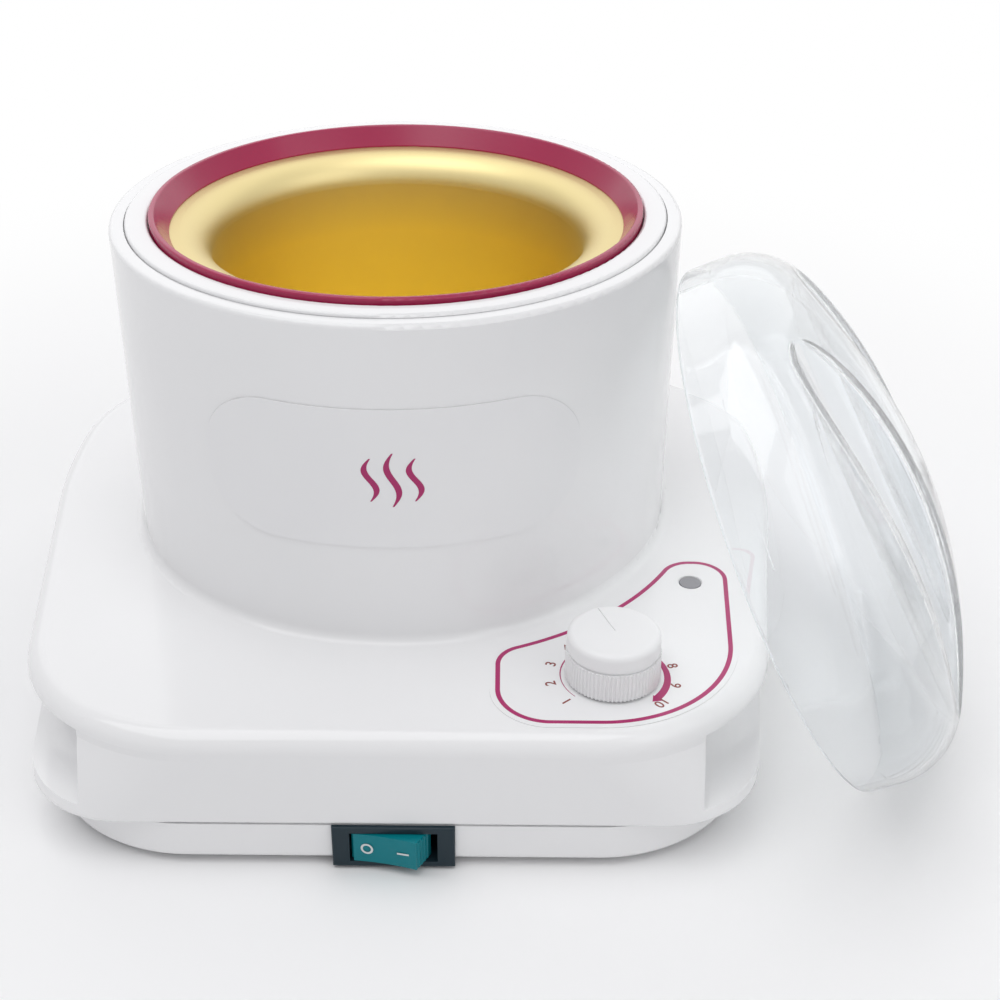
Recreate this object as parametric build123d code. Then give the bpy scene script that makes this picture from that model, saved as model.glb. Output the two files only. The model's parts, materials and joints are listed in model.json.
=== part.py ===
"""Table-top wax warmer: a round heated pot in a moulded base, with a dial, a rocker switch and a clear lid.

Millimetres, +Z up.  The origin is on the table top, under the axis of the pot.  The front is -Y.
"""
from build123d import *
import os
from math import atan2, cos, degrees, pi, radians, sin, sqrt, tan

# General clearances and walls
SEAT_GAP = 0.3
SLIDE_GAP = 0.1
RUN_GAP = 0.05
TOUCH_GAP = 0.02
WALL = 2.4

# Pot, collar and top ring, each sized outward from the pot's bore
POT_WELL_R = 50.5
POT_SHOULDER_R = 8.0
POT_RIM_W = 6.0
POT_LIP_R = POT_WELL_R + POT_SHOULDER_R + POT_RIM_W
POT_T = 1.2
POT_CORNER_R = 9.0
COLLAR_OVERHANG = 1.8
COLLAR_W = 5.1
COLLAR_R = POT_LIP_R + COLLAR_OVERHANG
COLLAR_INNER_R = COLLAR_R - COLLAR_W
COLLAR_LAND = 0.4
COLLAR_BEAD_R = 0.7
RING_STEP_R = COLLAR_R + SEAT_GAP
RING_W = 6.0
RING_R = RING_STEP_R + RING_W
RING_SEAT_W = 4.5
RING_BORE_R = POT_LIP_R - RING_SEAT_W
RING_T = 2.6
RING_EDGE_R = 0.8

# Tower that holds the ring
TOWER_RIM_W = 4.2
TOWER_FLARE = 0.8
TOWER_TOP_R = RING_R + TOWER_RIM_W
TOWER_FOOT_R = TOWER_TOP_R - TOWER_FLARE
TOWER_WALL = 2.6
TOWER_FOOT_FILLET = 2.5
TOWER_EDGE_R = 1.2
FLANGE_LEDGE_W = 3.1
FLANGE_BORE_R = RING_R - FLANGE_LEDGE_W
FLANGE_T = 2.5

# Heights, from the deck up
DECK_Z = 40.0
POT_ABOVE_DECK = 10.0
POT_DEPTH = 76.6
COLLAR_H = 5.5
RING_ABOVE_LIP = 4.1
RING_ABOVE_TOWER = 0.9
RING_SINK = 2.4
POT_FLOOR_Z = DECK_Z + POT_ABOVE_DECK
POT_LIP_Z = POT_FLOOR_Z + POT_DEPTH
COLLAR_TOP_Z = POT_LIP_Z + COLLAR_H
RING_TOP_Z = POT_LIP_Z + RING_ABOVE_LIP
TOWER_TOP_Z = RING_TOP_Z - RING_ABOVE_TOWER
FLANGE_TOP_Z = TOWER_TOP_Z - RING_SINK

# Base housing outline, sized outward from the tower's foot
BASE_X = 2.3
DECK_EDGE_R = 5.0
DECK_FRONT = 40.0
DECK_BACK = 1.0
FRONT_MARGIN = 15.2
WIDEST_MARGIN = 32.5
BACK_MARGIN = 27.8
FRONT_Y = -TOWER_FOOT_R - DECK_FRONT
BACK_Y = TOWER_FOOT_R + TOWER_FOOT_FILLET + DECK_EDGE_R + DECK_BACK
WIDEST_Y = 19.0
FRONT_HALF = TOWER_FOOT_R + FRONT_MARGIN
WIDEST_HALF = TOWER_FOOT_R + WIDEST_MARGIN
BACK_HALF = TOWER_FOOT_R + BACK_MARGIN
FRONT_CORNER_R = 49.0
BACK_CORNER_R = 46.0
SEAM_Z = 13.4
SEAM_EDGE_R = 1.2
SKIRT_TOP_Z = 33.0
SKIRT_INSET = 1.0
SKIRT_CORNER_R = 24.0
SKIRT_BACK_R = 28.0

# Finger grips along both sides
GRIP_DEPTH = 15.5
GRIP_TOP_Z = 35.0
GRIP_FLOOR_Z = 17.0
GRIP_FROM_EDGE = 14.2
GRIP_END_X = FRONT_HALF - GRIP_FROM_EDGE
GRIP_FLOOR_R = 14.0
GRIP_OUT = 16.0

# Heater, insulation and shield, sized outward from the pot
BAND_T = 1.3
BAND_ABOVE_FLOOR = 8.0
BAND_H = 46.0
BAND_GAP_DEG = 14.0
BAND_INNER = POT_WELL_R + POT_T + SLIDE_GAP
BAND_Z = (POT_FLOOR_Z + BAND_ABOVE_FLOOR, POT_FLOOR_Z + BAND_ABOVE_FLOOR + BAND_H)
STRAP_T = 0.6
STRAP_H = 8.0
STRAP_EAR_H = 2.0
STRAP_EAR_T = 1.0
STRAP_GAP_DEG = 5.0
STRAP_INNER = BAND_INNER + BAND_T + SLIDE_GAP
STRAP_OUTER = STRAP_INNER + STRAP_T
STRAP_MID_Z = (BAND_Z[0] + BAND_Z[1]) / 2
RIVET_R = 0.5
RIVET_HEAD_R = 0.9
RIVET_HEAD_T = 0.6
BULB_R = 1.1
BULB_OVERLAP = (2.0, 6.0)
BULB_Z = (BAND_Z[0] + BULB_OVERLAP[0], BAND_Z[1] + BULB_OVERLAP[1])
BULB_DEG = -52.0
CAPILLARY_R = 0.6
SLEEVE_T = 5.0
SLEEVE_INNER = STRAP_OUTER + 2 * (BULB_R + SEAT_GAP)
SLEEVE_TOP_Z = POT_LIP_Z - POT_SHOULDER_R - 2 * SEAT_GAP
SHIELD_R = SLEEVE_INNER + SLEEVE_T + 2 * SEAT_GAP
SHIELD_T = 0.6
SHIELD_Z = (DECK_Z + 1.0, SLEEVE_TOP_Z + 1.0)
SHIELD_HOLE_R = 6.0
LEAD_R = 0.8
LEAD_HOLE_R = 2 * LEAD_R
PAD_INSET = 2.5
PAD_R = POT_WELL_R - PAD_INSET
PAD_HOLE_R = 13.0
CUTOUT_R = 8.0
CUTOUT_H = 3.4
CUTOUT_CAP_R = CUTOUT_R - 1.5
CUTOUT_FLANGE_R = CUTOUT_R + 2.5
CUTOUT_FLANGE_T = 1.6
CUTOUT_TAB_X = 3.2
CUTOUT_TAB_W = 4.8
CUTOUT_TAB_LEN = 7.0

# Base tray
TRAY_BOTTOM_Z = 2.0
TRAY_FLOOR_T = 2.2
TRAY_SIDE_INSET = 4.8
TRAY_FRONT_INSET = 0.4
TRAY_CORNER_R = 40.0
TRAY_EDGE_R = 2.2
TONGUE_T = 1.8
TONGUE_TOP_Z = GRIP_FLOOR_Z - WALL - SEAT_GAP
TONGUE_ROOT = 4.0
SEAM_GAP = 0.3

# Dial, thermostat and lamp
DIAL_FROM_SIDE = 36.5
DIAL_FROM_FRONT = 26.4
DIAL_X = BASE_X + FRONT_HALF - DIAL_FROM_SIDE
DIAL_Y = FRONT_Y + DIAL_FROM_FRONT
KNOB_R = 12.0
KNOB_CAP_R = KNOB_R - 0.3
KNOB_GROOVE_R = KNOB_R - 0.8
KNOB_GAP = 0.9
KNURL_H = 7.6
KNOB_GROOVE_H = 0.8
KNOB_CAP_H = 4.6
KNOB_CAP_FILLET = 1.6
KNURL_COUNT = 72
KNURL_DEPTH = 0.35
KNOB_SKIRT_BORE_R = KNOB_R - 2.4
KNOB_BORE_DEPTH = 4.4
POINTER_DEG = 111.0
POINTER_W = 0.5
POINTER_DEPTH = 0.35
SHAFT_R = 3.0
SHAFT_FLAT = 2.3
SHAFT_IN_KNOB = 6.0
BUSH_R = 5.0
BUSH_ABOVE = 3.2
NUT_R = 7.6
NUT_T = 2.2
STAT_W = 30.0
STAT_D = 26.0
STAT_H = 16.0
STAT_CORNER_R = 2.0
STAT_CHAMBER_R = 8.0
STAT_CHAMBER_H = 7.0
CAM_R = STAT_CHAMBER_R - 0.8
CAM_T = 2.0
CAM_ABOVE_BASE = 1.5
STAT_BASE_T = 2.0
STAT_BLADE_X = 8.0
BLADE_W = 4.8
BLADE_T = 0.8
BLADE_LEN = 6.0
LAMP_ASIDE = 23.6
LAMP_BEHIND = 42.9
LAMP_X = DIAL_X + LAMP_ASIDE
LAMP_Y = DIAL_Y + LAMP_BEHIND
LAMP_R = 2.5
LAMP_FLANGE_R = 3.0
LAMP_FLANGE_T = 1.0
LAMP_EDGE_R = 0.25
LAMP_LEN = 8.6
LAMP_PROUD = 0.3
LAMP_CLIP_R = 3.5
LAMP_CLIP_H = 3.0
LAMP_LEG_R = 0.35
LAMP_LEG_X = 1.27
LAMP_LEG_LEN = 5.0

# Screws, bosses, posts and feet
BOSS_FROM_SIDE = 27.2
BOSS_BEHIND_DIAL = 27.6
BOSS_FROM_BACK = 18.0
BOSS_X = FRONT_HALF - BOSS_FROM_SIDE
BOSS_FRONT_Y = DIAL_Y + BOSS_BEHIND_DIAL
BOSS_BACK_Y = BACK_Y - BOSS_FROM_BACK
BOSS_R = 4.2
BOSS_BOTTOM_Z = SEAM_Z - 1.0
PILOT_R = 1.5
SCREW_R = PILOT_R - RUN_GAP
SCREW_CLEAR_R = 1.9
SCREW_HEAD_R = 3.2
SCREW_HEAD_T = 2.2
SCREW_HEAD_EDGE_R = 0.8
SCREW_LEN = 16.0
CROSS_LEN = 3.8
CROSS_W = 0.8
CROSS_DEPTH = 1.2
WELL_R = 5.6
WELL_BORE_R = 3.6
WELL_SHELF_Z = TRAY_BOTTOM_Z + 4.5
POST_R = 4.0
POST_OUTSET = 1.5
POST_CIRCLE_R = POT_WELL_R + POST_OUTSET
POST_DEGS = (90.0, 210.0, 330.0)
SHIELD_SCREW_LEN = 7.0
FOOT_R = 8.0
FOOT_POCKET = 0.6
FOOT_EDGE_R = 0.6
FOOT_ASIDE = 2.0
FOOT_FROM_BOSS = 21.0
FOOT_X = BOSS_X + FOOT_ASIDE
FOOT_FRONT_Y = BOSS_FRONT_Y - FOOT_FROM_BOSS
FOOT_BACK_Y = BOSS_BACK_Y - FOOT_FROM_BOSS

# Rocker switch
SWITCH_X = 2.8
BEZEL_W = 30.5
BEZEL_H = 12.5
BEZEL_Z = 7.05
BEZEL_T = 1.2
BEZEL_EDGE_R = 0.5
SWITCH_W = BEZEL_W - 2.9
SWITCH_H = 10.1
SWITCH_D = 20.0
SWITCH_WALL = 0.55
SWITCH_BLADE_X = 6.0
ROCKER_OPEN_W = 21.8
ROCKER_OPEN_H = SWITCH_H - 2 * SWITCH_WALL
ROCKER_H = ROCKER_OPEN_H - 0.4
ROCKER_FACE_HALF = 8.0
ROCKER_FACE_DIST = 10.0
ROCKER_FOOT_HALF = 10.1
ROCKER_FOOT_DIST = 3.5
ROCKER_HUB_R = 2.6
ROCKER_TILT_DEG = 12.0
ROCKER_DISH = 0.5
PIVOT_BACK = 7.4
PIVOT_R = 1.2
ROCKER_RIBS = 4
ROCKER_RIB_H = 0.3
ROCKER_RIB_W = 0.5
POCKET_BACK = 12.0

# Mains inlet
INLET_X = 40.0
INLET_Z = 25.0
INLET_FLANGE_W = 25.0
INLET_FLANGE_H = 16.0
INLET_FLANGE_T = 1.6
INLET_CORNER_R = 2.0
INLET_BODY_W = 20.0
INLET_BODY_H = 12.0
INLET_BODY_D = 17.0
INLET_LOBE_R = 4.4
INLET_LOBE_PITCH = 7.6
INLET_WAIST = 1.2
INLET_SOCKET_D = 12.0
INLET_PIN_R = 1.2
INLET_PIN_PITCH = 8.6
INLET_PIN_LEN = 10.0

# Labels
LABEL_T = 0.25
LABEL_GAP = 0.06
LABEL_FROM_TOWER = 6.7
LABEL_FROM_DIAL = 30.8
LABEL_FROM_EDGE = 0.4
LABEL_BEHIND_LAMP = 11.9
LABEL_FLARE = 5.0
LABEL_SMALL_SHARE = 0.55
LABEL_ARC_R = TOWER_FOOT_R + LABEL_FROM_TOWER
LABEL_LEFT_X = DIAL_X - LABEL_FROM_DIAL
LABEL_BOTTOM_Y = FRONT_Y + DECK_EDGE_R + LABEL_FROM_EDGE
LABEL_TOP_Y = LAMP_Y + LABEL_BEHIND_LAMP
LABEL_RIGHT_X = BASE_X + FRONT_HALF - DECK_EDGE_R - LABEL_FROM_EDGE
LABEL_BIG_R = FRONT_CORNER_R - 12.0
LABEL_SMALL_R = LABEL_SMALL_SHARE * (LABEL_RIGHT_X + LABEL_FLARE - sqrt(LABEL_ARC_R**2 - LABEL_TOP_Y**2))
LABEL_LEFT_R = 15.0
TOWER_LABEL_SPAN_DEG = 75.0
TOWER_LABEL_H = 38.6
TOWER_LABEL_ABOVE_DECK = 48.7
TOWER_LABEL_Z = DECK_Z + TOWER_LABEL_ABOVE_DECK
TOWER_LABEL_DEG = 1.7
TOWER_LABEL_CORNER = 16.5
PLATE_W = 50.0
PLATE_H = 26.0
PLATE_T = 0.2
PLATE_CORNER_R = 2.0

# Internal leads
LAMP_LEAD_R = 0.5
LAMP_LEAD_DROP = 6.0
LAMP_LEAD_PITCH = 4.0
LAMP_LEAD_STEP = 1.4
LAMP_BEND_R = 1.2
TAIL_DEG = 30.0
LEAD_Z = TRAY_BOTTOM_Z + 4.2
LEAD_OUT = 9.0
LEAD_BEND_R = 4.0
LEAD_LANE_X = 24.0
CONTROL_RISE_Z = 16.0

# Clear lid
LID_FROM_RING_EDGE = 1.2
LID_R = RING_R - LID_FROM_RING_EDGE
LID_T = 2.0
LID_SHOULDER_R = 19.2
LID_TOP_H = 38.4
LID_CROWN_R = 150.0
LID_RIM_R = 0.6
LID_LEAN_DEG = 27.2
LID_TURN_DEG = -8.6
LID_SIDE = 5.1
LID_X = TOWER_FOOT_R + LID_R * sin(radians(LID_LEAN_DEG)) - LID_SIDE
LID_Y = -54.6
SCOOP_R = 16.0
SCOOP_FLOOR_H = 25.0
SCOOP_AWAY = 25.0
SCOOP_EDGE_R = 2.0


def slab(face, low, high):
    """A flat face raised into a solid from one height to another."""
    return extrude(Plane.XY.offset(low) * face, high - low)


def tube(outer, inner, low, high):
    """An upright ring."""
    solid = Pos(0, 0, low) * Cylinder(outer, high - low, align=(Align.CENTER, Align.CENTER, Align.MIN))
    bore = Pos(0, 0, low) * Cylinder(inner, high - low, align=(Align.CENTER, Align.CENTER, Align.MIN))
    return solid - bore


def rod(radius, low, high):
    """An upright cylinder."""
    return Pos(0, 0, low) * Cylinder(radius, high - low, align=(Align.CENTER, Align.CENTER, Align.MIN))


def block(x, y, z):
    """A box given by its low and high limits along each axis."""
    size = [hi - lo for lo, hi in (x, y, z)]
    return Pos(x[0], y[0], z[0]) * Box(*size, align=(Align.MIN, Align.MIN, Align.MIN))


def turned(points):
    """A solid of revolution about Z from (radius, height) points."""
    outline = make_face(Polyline([(r, 0, z) for r, z in points], close=True))
    return revolve(outline, Axis.Z, 360)


def group(solids):
    """Several separate solids kept together as one node."""
    return Compound(children=[s for shape in solids for s in shape.solids()])


def rounded_outline(halves, ends, radii):
    """A plan of the base from its half widths, its front and back, and its corner radii."""
    front_half, widest_half, back_half = halves
    front_y, back_y = ends
    corner_r, back_r = radii
    turn = atan2(widest_half - front_half, WIDEST_Y - front_y) + atan2(widest_half - back_half, back_y - WIDEST_Y)
    bow_r = (back_y - WIDEST_Y - back_r) / tan(turn / 2)
    corners = [
        (BASE_X - front_half, front_y),
        (BASE_X + front_half, front_y),
        (BASE_X + widest_half, WIDEST_Y),
        (BASE_X + back_half, back_y),
        (BASE_X - back_half, back_y),
        (BASE_X - widest_half, WIDEST_Y),
    ]
    path = FilletPolyline(*corners, radius=[corner_r, corner_r, bow_r, back_r, back_r, bow_r], close=True)
    return make_face(path)


def inset_outline(side, end, radii):
    """The base's plan moved in at its sides and ends, with its own corner radii."""
    halves = [half - side for half in (FRONT_HALF, WIDEST_HALF, BACK_HALF)]
    return rounded_outline(halves, (FRONT_Y + end, BACK_Y - end), radii)


def base_outline():
    return inset_outline(0, 0, (FRONT_CORNER_R, BACK_CORNER_R))


def skirt_outline():
    """The plan at the seam, with tighter corners than the deck."""
    return inset_outline(SKIRT_INSET, 0, (SKIRT_CORNER_R, SKIRT_BACK_R))


def tray_outline():
    radii = (TRAY_CORNER_R, BACK_CORNER_R - TRAY_SIDE_INSET)
    return inset_outline(TRAY_SIDE_INSET, TRAY_FRONT_INSET, radii)


def grip_space(grow):
    """The hollow of both finger grips, or that hollow grown by a wall."""
    depth = GRIP_DEPTH + grow
    ring = offset(base_outline(), amount=GRIP_OUT) - offset(base_outline(), amount=-depth)
    band = slab(ring, GRIP_FLOOR_Z - grow, GRIP_TOP_Z + grow)
    reach = 2 * WIDEST_HALF
    spaces = []
    for side in (-1, 1):
        near = BASE_X + side * (GRIP_END_X - grow)
        far = BASE_X + side * reach
        zone = block((min(near, far), max(near, far)), (-reach, reach), (0, DECK_Z))
        space = band & zone
        floor_edges = space.edges().group_by(Axis.Z)[0]
        inner = [e for e in floor_edges if is_inner(e, depth)]
        spaces.append(fillet(inner, GRIP_FLOOR_R + grow))
    return spaces


def is_inner(edge, depth):
    """True for an edge of the grip floor that runs along its inner wall."""
    mid = edge @ 0.5
    return offset(base_outline(), amount=-0.5 * depth).is_inside(Vector(mid.X, mid.Y, 0))


def bosses():
    """Places of the four screws that join the tray to the housing."""
    return [
        (BASE_X + side * BOSS_X, y)
        for side in (-1, 1)
        for y in (BOSS_FRONT_Y, BOSS_BACK_Y)
    ]


def tower_radius(z):
    """Outer radius of the tower at a height."""
    share = (z - DECK_Z) / (TOWER_TOP_Z - DECK_Z)
    return TOWER_FOOT_R + share * (TOWER_TOP_R - TOWER_FOOT_R)


def make_upper_housing():
    """Deck, side grips and tower, moulded as one hollow shell that is open below."""
    skirt = [Plane.XY.offset(SEAM_Z) * skirt_outline(), Plane.XY.offset(SKIRT_TOP_Z) * base_outline()]
    base = loft(skirt, ruled=True) + slab(base_outline(), SKIRT_TOP_Z, DECK_Z)
    base = fillet(base.edges().group_by(Axis.Z)[-1], DECK_EDGE_R)
    base = fillet(base.edges().group_by(Axis.Z)[0], SEAM_EDGE_R)
    tower = Pos(0, 0, DECK_Z) * Cone(
        TOWER_FOOT_R, TOWER_TOP_R, TOWER_TOP_Z - DECK_Z, align=(Align.CENTER, Align.CENTER, Align.MIN)
    )
    tower = fillet(tower.edges().group_by(Axis.Z)[-1], TOWER_EDGE_R)
    shell = base + tower
    foot = [
        e
        for e in shell.edges().filter_by(GeomType.CIRCLE)
        if abs(e.radius - TOWER_FOOT_R) < 0.01 and abs(e.center().Z - DECK_Z) < 0.01
    ]
    shell = fillet(foot, TOWER_FOOT_FILLET)
    for space in grip_space(0):
        shell -= space
    flange_low = FLANGE_TOP_Z - FLANGE_T
    hollow = [
        Plane.XY.offset(SEAM_Z + WALL) * offset(skirt_outline(), amount=-WALL),
        Plane.XY.offset(SKIRT_TOP_Z) * offset(base_outline(), amount=-WALL),
    ]
    cavity = loft(hollow, ruled=True)
    cavity += slab(offset(base_outline(), amount=-WALL), SKIRT_TOP_Z, DECK_Z - WALL)
    cavity += slab(offset(tray_outline(), amount=-WALL), SEAM_Z - 1, SEAM_Z + WALL + 1)
    cavity += rod(TOWER_FOOT_R - TOWER_WALL, DECK_Z - WALL - 1, flange_low)
    for space in grip_space(WALL):
        cavity -= space
    shell -= cavity
    shell -= rod(FLANGE_BORE_R, flange_low - 1, TOWER_TOP_Z + 1)
    shell -= rod(RING_R + SEAT_GAP, FLANGE_TOP_Z, TOWER_TOP_Z + 1)
    for x, y in bosses():
        shell += Pos(x, y, 0) * rod(BOSS_R, BOSS_BOTTOM_Z, DECK_Z - WALL / 2)
        shell -= Pos(x, y, 0) * rod(PILOT_R, BOSS_BOTTOM_Z - 1, BOSS_BOTTOM_Z + SCREW_LEN)
    shell -= Pos(DIAL_X, DIAL_Y, 0) * rod(BUSH_R + SLIDE_GAP, DECK_Z - 2 * WALL, DECK_Z + 1)
    shell -= Pos(LAMP_X, LAMP_Y, 0) * rod(LAMP_R + SLIDE_GAP, DECK_Z - 2 * WALL, DECK_Z + 1)
    flange_r = LAMP_FLANGE_R + SLIDE_GAP
    shell -= Pos(LAMP_X, LAMP_Y, 0) * rod(flange_r, DECK_Z + LAMP_PROUD - LAMP_FLANGE_T, DECK_Z + 1)
    half_w = INLET_BODY_W / 2 + SLIDE_GAP
    half_h = INLET_BODY_H / 2 + SLIDE_GAP
    shell -= block(
        (INLET_X - half_w, INLET_X + half_w),
        (BACK_Y - 2 * WALL, BACK_Y + 1),
        (INLET_Z - half_h, INLET_Z + half_h),
    )
    return shell


def make_base_tray():
    """The shallow tray that closes the housing from below."""
    outline = tray_outline()
    top = SEAM_Z - SEAM_GAP
    tray = slab(outline, TRAY_BOTTOM_Z, top)
    tray = fillet(tray.edges().group_by(Axis.Z)[0], TRAY_EDGE_R)
    tray -= slab(offset(outline, amount=-WALL), TRAY_BOTTOM_Z + TRAY_FLOOR_T, top + 1)
    tongue = offset(outline, amount=-WALL - SEAT_GAP) - offset(outline, amount=-WALL - SEAT_GAP - TONGUE_T)
    foot = offset(outline, amount=-WALL / 2) - offset(outline, amount=-WALL - SEAT_GAP - TONGUE_T)
    tray += slab(tongue, top - TONGUE_ROOT, TONGUE_TOP_Z)
    tray += slab(foot, top - TONGUE_ROOT, top)
    for x, y in bosses():
        well = rod(WELL_R, TRAY_BOTTOM_Z, BOSS_BOTTOM_Z)
        bore = rod(WELL_BORE_R, TRAY_BOTTOM_Z - 1, WELL_SHELF_Z) + rod(SCREW_CLEAR_R, 0, BOSS_BOTTOM_Z + 1)
        tray += Pos(x, y, 0) * well
        tray -= Pos(x, y, 0) * bore
    for angle in POST_DEGS:
        place = Rot(0, 0, angle) * Pos(POST_CIRCLE_R, 0, 0)
        tray += place * rod(POST_R, TRAY_BOTTOM_Z + 1, SHIELD_Z[0])
        tray -= place * rod(PILOT_R, SHIELD_Z[0] - SHIELD_SCREW_LEN - 1, SHIELD_Z[0] + 1)
    for x, y in foot_places():
        tray -= Pos(x, y, 0) * rod(FOOT_R + SLIDE_GAP, 0, TRAY_BOTTOM_Z + FOOT_POCKET)
    half_w = SWITCH_W / 2 + SLIDE_GAP
    low = BEZEL_Z - SWITCH_H / 2 - SLIDE_GAP
    tray -= block(
        (SWITCH_X - half_w, SWITCH_X + half_w),
        (FRONT_Y - 1, FRONT_Y + TRAY_FRONT_INSET + SWITCH_D - BEZEL_T + SLIDE_GAP),
        (low, BEZEL_Z + SWITCH_H / 2 + SLIDE_GAP),
    )
    return tray


def foot_places():
    return [
        (BASE_X + side * FOOT_X, y)
        for side in (-1, 1)
        for y in (FOOT_FRONT_Y, FOOT_BACK_Y)
    ]


def make_rubber_feet():
    """Four round feet glued into shallow pockets."""
    foot = rod(FOOT_R, 0, TRAY_BOTTOM_Z + FOOT_POCKET)
    foot = fillet(foot.edges().group_by(Axis.Z)[0], FOOT_EDGE_R)
    return group([Pos(x, y, 0) * foot for x, y in foot_places()])


def pan_screw(length, seat_z):
    """A pan-head screw driven upwards, with its head under the seat."""
    head = fillet(rod(SCREW_HEAD_R, seat_z - SCREW_HEAD_T, seat_z).edges().group_by(Axis.Z)[0], SCREW_HEAD_EDGE_R)
    screw = head + rod(SCREW_R, seat_z - SCREW_HEAD_T / 2, seat_z + length)
    slot = Pos(0, 0, seat_z - SCREW_HEAD_T) * Box(CROSS_LEN, CROSS_W, 2 * CROSS_DEPTH)
    for turn in (0, 90):
        screw -= Rot(0, 0, turn) * slot
    return screw


def make_tray_screws():
    """Four screws up through the tray into the housing's bosses."""
    screw = pan_screw(SCREW_LEN, WELL_SHELF_Z)
    return group([Pos(x, y, 0) * screw for x, y in bosses()])


def make_top_ring():
    """White ring that drops into the tower's mouth and carries the pot's lip."""
    seat = POT_LIP_Z - POT_T
    spigot = FLANGE_BORE_R - SEAT_GAP
    ring = turned([
        (RING_R, FLANGE_TOP_Z),
        (RING_R, RING_TOP_Z),
        (RING_STEP_R, RING_TOP_Z),
        (RING_STEP_R, seat),
        (RING_BORE_R, seat),
        (RING_BORE_R, seat - RING_T),
        (spigot, seat - RING_T),
        (spigot, FLANGE_TOP_Z),
    ])
    return fillet(ring.edges().group_by(Axis.Z)[-1], RING_EDGE_R)


def make_bowl_collar():
    """Coloured collar that holds the pot's lip down and slopes in to the pot."""
    crest = COLLAR_TOP_Z
    slope_top = COLLAR_R - 2 * COLLAR_BEAD_R
    collar = turned([
        (COLLAR_R, POT_LIP_Z),
        (COLLAR_R, crest),
        (slope_top, crest),
        (COLLAR_INNER_R, POT_LIP_Z + COLLAR_LAND),
        (COLLAR_INNER_R, POT_LIP_Z),
    ])
    return fillet(collar.edges().group_by(Axis.Z)[-1], COLLAR_BEAD_R * 0.9)


def pot_profile(grow):
    """Half section of the pot's inside, or of its outside when grown by its wall."""
    well = POT_WELL_R + grow
    shoulder = POT_SHOULDER_R - grow
    lip = POT_LIP_Z - grow
    floor = POT_FLOOR_Z - grow
    corner = POT_CORNER_R + grow
    turn = sin(radians(45))
    mouth = well + shoulder
    path = Line((0, 0, floor), (well - corner, 0, floor))
    path += ThreePointArc(
        (well - corner, 0, floor),
        (well - corner * (1 - turn), 0, floor + corner * (1 - turn)),
        (well, 0, floor + corner),
    )
    path += Line((well, 0, floor + corner), (well, 0, lip - shoulder))
    path += ThreePointArc(
        (well, 0, lip - shoulder),
        (well + shoulder * (1 - turn), 0, lip - shoulder * (1 - turn)),
        (mouth, 0, lip),
    )
    path += Line((mouth, 0, lip), (POT_LIP_R, 0, lip))
    return path


def make_wax_pot():
    """Spun metal pot with a round shoulder and a flat lip."""
    inner = pot_profile(0)
    outer = pot_profile(POT_T)
    ends = Line((0, 0, POT_FLOOR_Z), (0, 0, POT_FLOOR_Z - POT_T))
    ends += Line((POT_LIP_R, 0, POT_LIP_Z), (POT_LIP_R, 0, POT_LIP_Z - POT_T))
    section = make_face(inner.edges() + outer.edges() + ends.edges())
    return revolve(section, Axis.Z, 360)


def wedge(radius, start, span, low, high):
    """A slice of a cylinder, from one angle over a span, to cut gaps with."""
    reach = radius / cos(radians(span / 2))
    points = [(0, 0)] + [
        (reach * cos(radians(a)), reach * sin(radians(a))) for a in (start, start + span)
    ]
    return slab(make_face(Polyline(*points, close=True)), low, high)


def make_heater_band():
    """Flexible heater wrapped round the pot, open at the back."""
    band = tube(BAND_INNER + BAND_T, BAND_INNER, *BAND_Z)
    start = 90 - BAND_GAP_DEG / 2
    return band - wedge(2 * BAND_INNER, start, BAND_GAP_DEG, BAND_Z[0] - 1, BAND_Z[1] + 1)


def rivet_bar(radius, half):
    """A bar across the strap's ears, where the rivet sits."""
    return Pos(0, STRAP_OUTER + STRAP_EAR_H / 2, STRAP_MID_Z) * Rot(0, 90, 0) * Cylinder(radius, 2 * half)


def make_band_strap():
    """Sheet strap that clamps the heater to the pot, with two ears for its screw."""
    low = STRAP_MID_Z - STRAP_H / 2
    high = STRAP_MID_Z + STRAP_H / 2
    strap = tube(STRAP_OUTER, STRAP_INNER, low, high)
    ear_r = STRAP_OUTER + STRAP_EAR_H
    gap = STRAP_INNER * radians(STRAP_GAP_DEG) / 2
    for side in (-1, 1):
        near = side * gap
        far = side * (gap + STRAP_EAR_T)
        strap += block((min(near, far), max(near, far)), (STRAP_INNER + STRAP_T / 4, ear_r), (low, high))
    strap -= block((-gap, gap), (STRAP_INNER - 2, ear_r + 1), (low - 1, high + 1))
    return strap - rivet_bar(RIVET_R + RUN_GAP, gap + STRAP_EAR_T + 1)


def make_strap_rivet():
    """Rivet that draws the two ears together."""
    gap = STRAP_INNER * radians(STRAP_GAP_DEG) / 2
    half = gap + STRAP_EAR_T + RUN_GAP
    heads = rivet_bar(RIVET_HEAD_R, half + RIVET_HEAD_T) - rivet_bar(2 * RIVET_HEAD_R, half)
    return heads + rivet_bar(RIVET_R, half + RIVET_HEAD_T / 2)


def make_insulation_sleeve():
    """Soft insulating wrap that stands in the shield."""
    return tube(SLEEVE_INNER + SLEEVE_T, SLEEVE_INNER, SHIELD_Z[0] + SHIELD_T + SLIDE_GAP, SLEEVE_TOP_Z)


def make_insulation_pad():
    """Round insulating pad under the pot, with a hole for the cut-out."""
    low = SHIELD_Z[0] + SHIELD_T + SLIDE_GAP
    pad = tube(PAD_R, PAD_HOLE_R, low, POT_FLOOR_Z - POT_T - SEAT_GAP)
    for angle in POST_DEGS:
        pad -= Rot(0, 0, angle) * Pos(POST_CIRCLE_R, 0, 0) * rod(SCREW_HEAD_R + 1, low - 1, low + SCREW_HEAD_T + 1)
    return pad


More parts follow.
